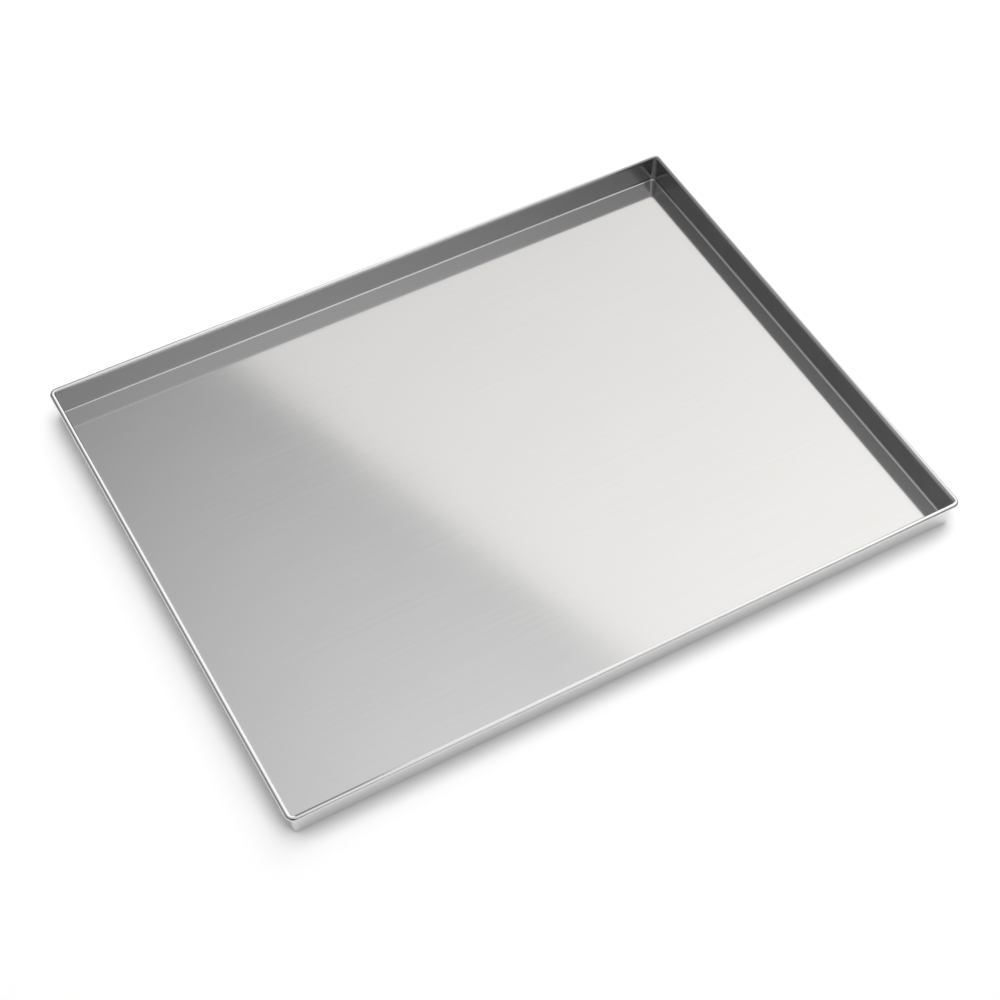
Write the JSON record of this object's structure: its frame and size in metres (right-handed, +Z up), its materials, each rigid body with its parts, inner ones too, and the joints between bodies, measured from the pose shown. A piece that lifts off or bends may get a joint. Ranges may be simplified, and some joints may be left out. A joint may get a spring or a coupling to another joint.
{
  "type": "cookie sheet",
  "caption": "Shallow rectangular stainless steel baking tray with a flat floor, low walls, tight rounded corners and an edge rolled outwards around a steel wire.",
  "frame": {"origin": "middle of the underside, on the surface that the tray rests on", "axes": "+X along the long sides, +Y along the short sides towards the back, +Z up out of the tray"},
  "size_m": [0.45, 0.35, 0.0206],
  "materials": {
    "pan_steel": "satin stainless sheet with a fine rolled grain, brighter on the rolled edge",
    "wire_steel": "plain drawn steel wire"
  },
  "bodies": {
    "root": {"tray_pan": "pan_steel", "rim_wire": "wire_steel"}
  },
  "joints": []
}
